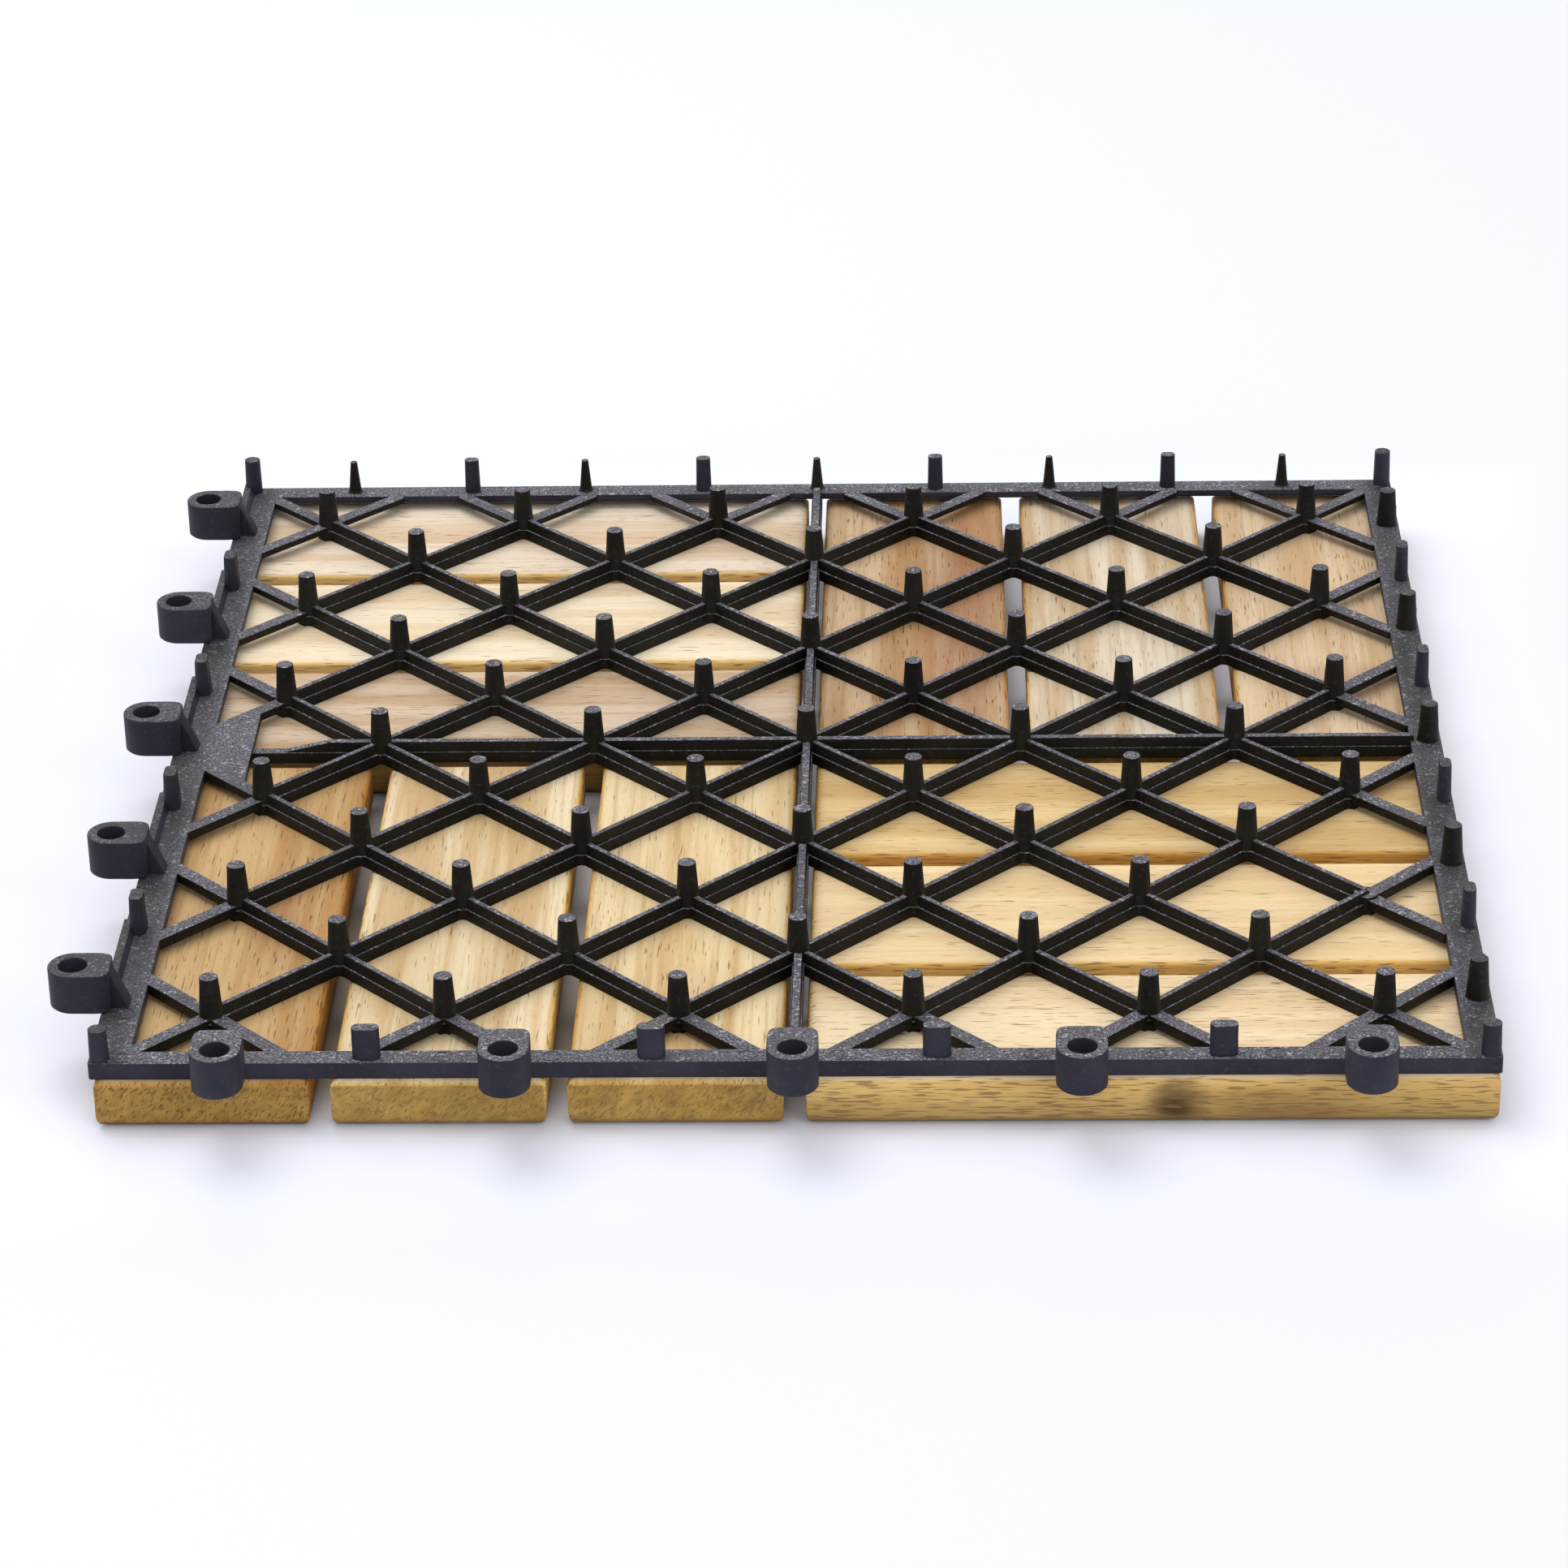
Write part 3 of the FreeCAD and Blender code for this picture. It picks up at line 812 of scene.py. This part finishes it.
def buttress(turn, shift, rim_face):
    """The wedge between an eye and the rim: its side view carried across its width."""
    side = np.array([
        (buttress_start, buttress_bottom),
        (buttress_start, buttress_crest),
        (buttress_crest_end, buttress_crest),
        (loop_inner_length + buttress_run, buttress_foot),
        (rim_face + buttress_past_rim, buttress_foot),
    ])
    insets = np.array([buttress_ease, 0, 0, buttress_ease])
    outermost, eased = buttress_half_width, buttress_half_width - buttress_ease
    places = np.array([-outermost, -eased, eased, outermost])
    away = side - side.mean(0)
    shares = 1 - insets[:, None] / np.linalg.norm(away, axis=1)
    shrunk = side.mean(0) + away * shares[..., None]
    across = places[:, None, None] + 0 * shrunk[..., :1]
    return skin(placed(np.concatenate([across, shrunk], axis=-1), turn, shift))


loop_parts = []
for place in joints:
    for turn, shift, face in ((0, (place, front_loop_line), rim_low[1] - front_loop_line),
                              (-math.pi / 2, (left_loop_line, place), rim_low[0] - left_loop_line)):
        loop_parts.append(loop_block(turn, shift))
        loop_parts.append(buttress(turn, shift, face))
moulded("joining_loops", loop_parts, rim_plastic_lit_sides)


# Joining pins.
# Stout tapered pins stand on the right rim and slim ones on the back rim, opposite the
# loops, moulded in one with the rim.

stout_pin_line = left_loop_line + columns * pitch
slim_pin_line = front_loop_line + columns * pitch
stout_pin = dict(base=2.55 * MM, top_radius=1.95 * MM, height=9.4 * MM)
slim_pin = dict(base=1.55 * MM, top_radius=0.85 * MM, height=8.7 * MM, fillet=1.1 * MM)
pin_parts = [post(stout_pin_line, y, plate_top, **stout_pin) for y in joints]
pin_parts += [post(x, slim_pin_line, plate_top, **slim_pin) for x in joints]
moulded("joining_pins", pin_parts, lattice_plastic_shaded_sides)


# Rim feet and corner studs.
# Small tapered blocks between the loops or pins on all four rims, and one in each corner,
# moulded in one with the rim.  They keep the rim off the ground.

front_foot = (np.array([6.0, 3.1]) * MM, 7.3 * MM, 0.05 * MM)
left_foot = (np.array([3.7, 6.0]) * MM, 8.9 * MM, 0.4 * MM)
right_foot = (np.array([3.2, 5.2]) * MM, 9.2 * MM, 0.25 * MM)
back_foot = (np.array([4.0, 3.2]) * MM, 9.0 * MM, 0.2 * MM)
front_foot_line = rim_low[1] + 2.5 * MM
left_foot_line = rim_low[0] + 3.3 * MM
right_foot_line = rim_high[0] - 2.0 * MM
back_foot_line = rim_high[1] - 3.0 * MM
back_foot_shift = 0.6 * MM
left_foot_spread, right_foot_spread = 0.975, 0.98
foot_corner_radius = 1.5 * MM
block_edge = 0.15 * MM
block_draft = 0.2 * MM
stud_size = np.array([4.3, 4.2]) * MM
near_stud_height, far_stud_height = 7.3 * MM, 9.1 * MM
stud_setback = 0.2 * MM
stud_corner_radius = 2.0 * MM


def block(low, high, height, draft=block_draft, corner=foot_corner_radius):
    """A block on the rim with eased edges whose sides draw in towards its top."""
    insets, heights = eased_top(block_edge, plate_top - root_depth, plate_top + height)
    lean = draft * (heights - heights[0]) / (heights[-1] - heights[0])
    return skin(rounded_rings(low, high, corner, insets + lean, heights))


foot_parts = []
for place in (joints[:-1] + joints[1:]) / 2:
    for middle, (size, height, draft) in (
            ((place, front_foot_line), front_foot),
            ((place + back_foot_shift, back_foot_line), back_foot),
            ((left_foot_line, left_foot_spread * place), left_foot),
            ((right_foot_line, right_foot_spread * place), right_foot)):
        foot_parts.append(block(middle - size / 2, middle + size / 2, height, draft))
stud_low = rim_low + stud_setback
stud_high = rim_high - stud_setback - stud_size
for x in (stud_low[0], stud_high[0]):
    for y, height in ((stud_low[1], near_stud_height), (stud_high[1], far_stud_height)):
        foot_parts.append(block((x, y), (x, y) + stud_size, height, corner=stud_corner_radius))
moulded("rim_feet_and_studs", foot_parts, rim_plastic_lit_sides)


# Lips.
# Low thin upstands along the outer edges of the left and right rims, behind each loop or pin,
# moulded in one with the rim.  The outer side stands upright and the inner side slopes.

lip_foot_width = 2.7 * MM
lip_slope = 0.9 * MM
lip_height = 1.9 * MM
lip_corner = 0.3 * MM
lip_setback = 6.0 * MM
left_lip_length = 28 * MM
right_lip_length = 9.5 * MM


def lip(start, end, outer_face, inwards):
    """A lip along Y against the rim's outer face, its inner side sloping by lip_slope."""
    across = np.sort([outer_face, outer_face + inwards * lip_foot_width])
    low, high = (across[0], start), (across[1], end)
    points, faces = block(low, high, lip_height, lip_slope / 2, lip_corner)
    rise = (points[:, 2] - points[:, 2].min()) / np.ptp(points[:, 2])
    points[:, 0] -= inwards * lip_slope / 2 * rise
    return points, faces


lip_parts = []
for start in joints + lip_setback:
    lip_parts.append(lip(start, min(start + left_lip_length, rim_high[1]), rim_low[0], 1))
    lip_parts.append(lip(start, start + right_lip_length, rim_high[0], -1))
moulded("rim_lips", lip_parts, rim_plastic_lit_sides)


# Ejector marks.
# Faint raised rings on the rim's face, where the mould's pins pushed the moulding out while
# it was warm.  They stand along the near rim, and a larger one by the near left corner.

mark_width = 0.25 * MM
mark_rise = 0.12 * MM
mark_sides = 32
front_mark_radius = 1.9 * MM
front_mark_line = rim_low[1] + 2.6 * MM
front_marks = np.array([-141.7, -74, -51, -10, 9, 50, 76, 101, 138]) * MM
corner_mark = (-143.8 * MM, -124.6 * MM, 2.3 * MM)


def ring_mark(x, y, radius):
    """A low raised ring: out over its top from the inner foot to the outer foot."""
    radii = radius + np.array([-1, -0.7, 0.7, 1]) * mark_width
    levels = plate_top + np.array([-1, 1, 1, -1]) * mark_rise
    return skin(circle_rings(x, y, radii, levels, mark_sides), capped=False, closed=True)


mark_parts = [ring_mark(x, front_mark_line, front_mark_radius) for x in front_marks]
moulded("ejector_marks", mark_parts + [ring_mark(*corner_mark)], rim_plastic_lit_sides)


# Deck screws.
# Bright steel countersunk screws, two to a slat, driven from the deck face through the wood
# into the base.  Their heads lie flush with the deck face.

screw_length = 13.2 * MM
screw_head_depth = 0.02 * MM
head_fit, shank_fit = 0.985, 0.97
steel, steel_shader = new_material("bright screw steel")
steel_shader.inputs["Base Color"].default_value = (0.55, 0.55, 0.56, 1)
steel_shader.inputs["Metallic"].default_value = 1.0
steel_shader.inputs["Roughness"].default_value = 0.32
fitted_shank = screw_shank_radius * shank_fit
screw_radii = (screw_head_radius * head_fit, fitted_shank, fitted_shank)
screw_levels = (screw_head_depth, screw_head_radius - screw_shank_radius, screw_length)
screw_parts = []
for place in boards:
    for x, y in screw_places(*tile_box("slat_" + place)):
        screw_parts.append(skin(circle_rings(x, y, screw_radii, screw_levels, screw_sides)))
screws = make_piece("deck_screw_group", screw_parts, steel)
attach(screws, "root")
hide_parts("deck_screws")


# Floor, light and camera.
# The tile lies on a white sweep under broad soft light.  A paler pool of light is painted on the
# sweep close round the tile, and a brown shadow is painted under its near left block, whose gaps
# are dark.

sweep_reach = 6.0
sweep_white = (0.80, 0.82, 0.905, 1)
# Painted light: a paler white close round the tile
painted_light_white = (0.87, 0.895, 0.99, 1)
# Painted shadow: the brown under the tile's near left block
painted_shadow_brown = (0.30, 0.25, 0.18, 1)
# Where the painted shadow fades in under the tile, and along the tile towards its near left
shadow_beneath_start, shadow_beneath_full = half_tile - 3 * MM, half_tile - 22 * MM
painted_shadow_end, painted_shadow_full = -10 * MM, -190 * MM
# Where the painted light round the tile is full and where it fades out
light_pool_full, light_pool_end = half_tile + 4 * MM, half_tile + 50 * MM

floor_mesh = bpy.data.meshes.new("white_floor")
floor_corners = [(x * sweep_reach, y * sweep_reach, 0) for x, y in ((-1, -1), (1, -1), (1, 1), (-1, 1))]
floor_mesh.from_pydata(floor_corners, [], [(0, 1, 2, 3)])
floor = bpy.data.objects.new("white_floor", floor_mesh)
bpy.context.scene.collection.objects.link(floor)
white, white_shader = new_material("white sweep")
floor_place = parts_of(white, node(white, "ShaderNodeTexCoord").outputs["Object"])
aside = [sums(white, "SUBTRACT", floor_place[axis], float(tile_middle[axis])) for axis in (0, 1)]
away = sums(white, "MAXIMUM", *[sums(white, "ABSOLUTE", distance) for distance in aside])
# Painted shadow beneath the tile, strongest under its near left block
shadow_beneath = ramp(white, away, shadow_beneath_full, shadow_beneath_start, reverse=True)
shadow_near_left = ramp(white, sums(white, "ADD", *aside), painted_shadow_full, painted_shadow_end, reverse=True)
# Painted light: the paler white close round the tile, fading outwards
around = ramp(white, away, light_pool_full, light_pool_end, reverse=True)
sweep_colour = mix(white, around, sweep_white, painted_light_white)
sweep_colour = mix(white, sums(white, "MULTIPLY", shadow_beneath, shadow_near_left), sweep_colour, painted_shadow_brown)
join(white, sweep_colour, white_shader.inputs["Base Color"])
white_shader.inputs["Roughness"].default_value = 0.5
floor_mesh.materials.append(white)
floor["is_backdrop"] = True

world = bpy.data.worlds.new("studio")
bpy.context.scene.world = world
world.use_nodes = True
world.node_tree.nodes["Background"].inputs["Color"].default_value = (0.95, 0.96, 1.0, 1)
world.node_tree.nodes["Background"].inputs["Strength"].default_value = 0.88


def softbox(name, place, size, watts):
    """A square lamp that faces the origin."""
    lamp = bpy.data.lights.new(name, "AREA")
    lamp.size = size
    lamp.energy = watts
    box = bpy.data.objects.new(name, lamp)
    box.location = place
    box.rotation_euler = (-Vector(place)).to_track_quat("-Z", "Y").to_euler()
    bpy.context.scene.collection.objects.link(box)


softbox("overhead_softbox", (-0.5, 0.5, 1.6), size=1.2, watts=12)
softbox("front_softbox", (0.9, -1.2, 1.1), size=0.9, watts=4)

camera_place = Vector((0.0293, -1.0758, 0.5674)) + Vector(tile_middle)
camera_down = math.radians(27.63)
camera_aside = math.radians(-1.857)
camera_roll = math.radians(-1.212)
focal_pixels = 6356.1
image_pixels = 1932
level_forward = Vector((math.sin(camera_aside), math.cos(camera_aside), 0))
level_right = Vector((math.cos(camera_aside), -math.sin(camera_aside), 0))
forward = level_forward * math.cos(camera_down) - Vector((0, 0, math.sin(camera_down)))
level_up = level_right.cross(forward)
right = level_right * math.cos(camera_roll) + level_up * math.sin(camera_roll)
up = level_up * math.cos(camera_roll) - level_right * math.sin(camera_roll)
camera_data = bpy.data.cameras.new("camera")
camera_data.sensor_width = 36
camera_data.lens = focal_pixels / image_pixels * camera_data.sensor_width
camera_data.clip_end = 50
camera = bpy.data.objects.new("camera", camera_data)
camera.matrix_world = Matrix((right, up, -forward)).transposed().to_4x4()
camera.location = camera_place
bpy.context.scene.collection.objects.link(camera)
bpy.context.scene.camera = camera
bpy.context.scene.view_settings.view_transform = "Standard"

low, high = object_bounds()
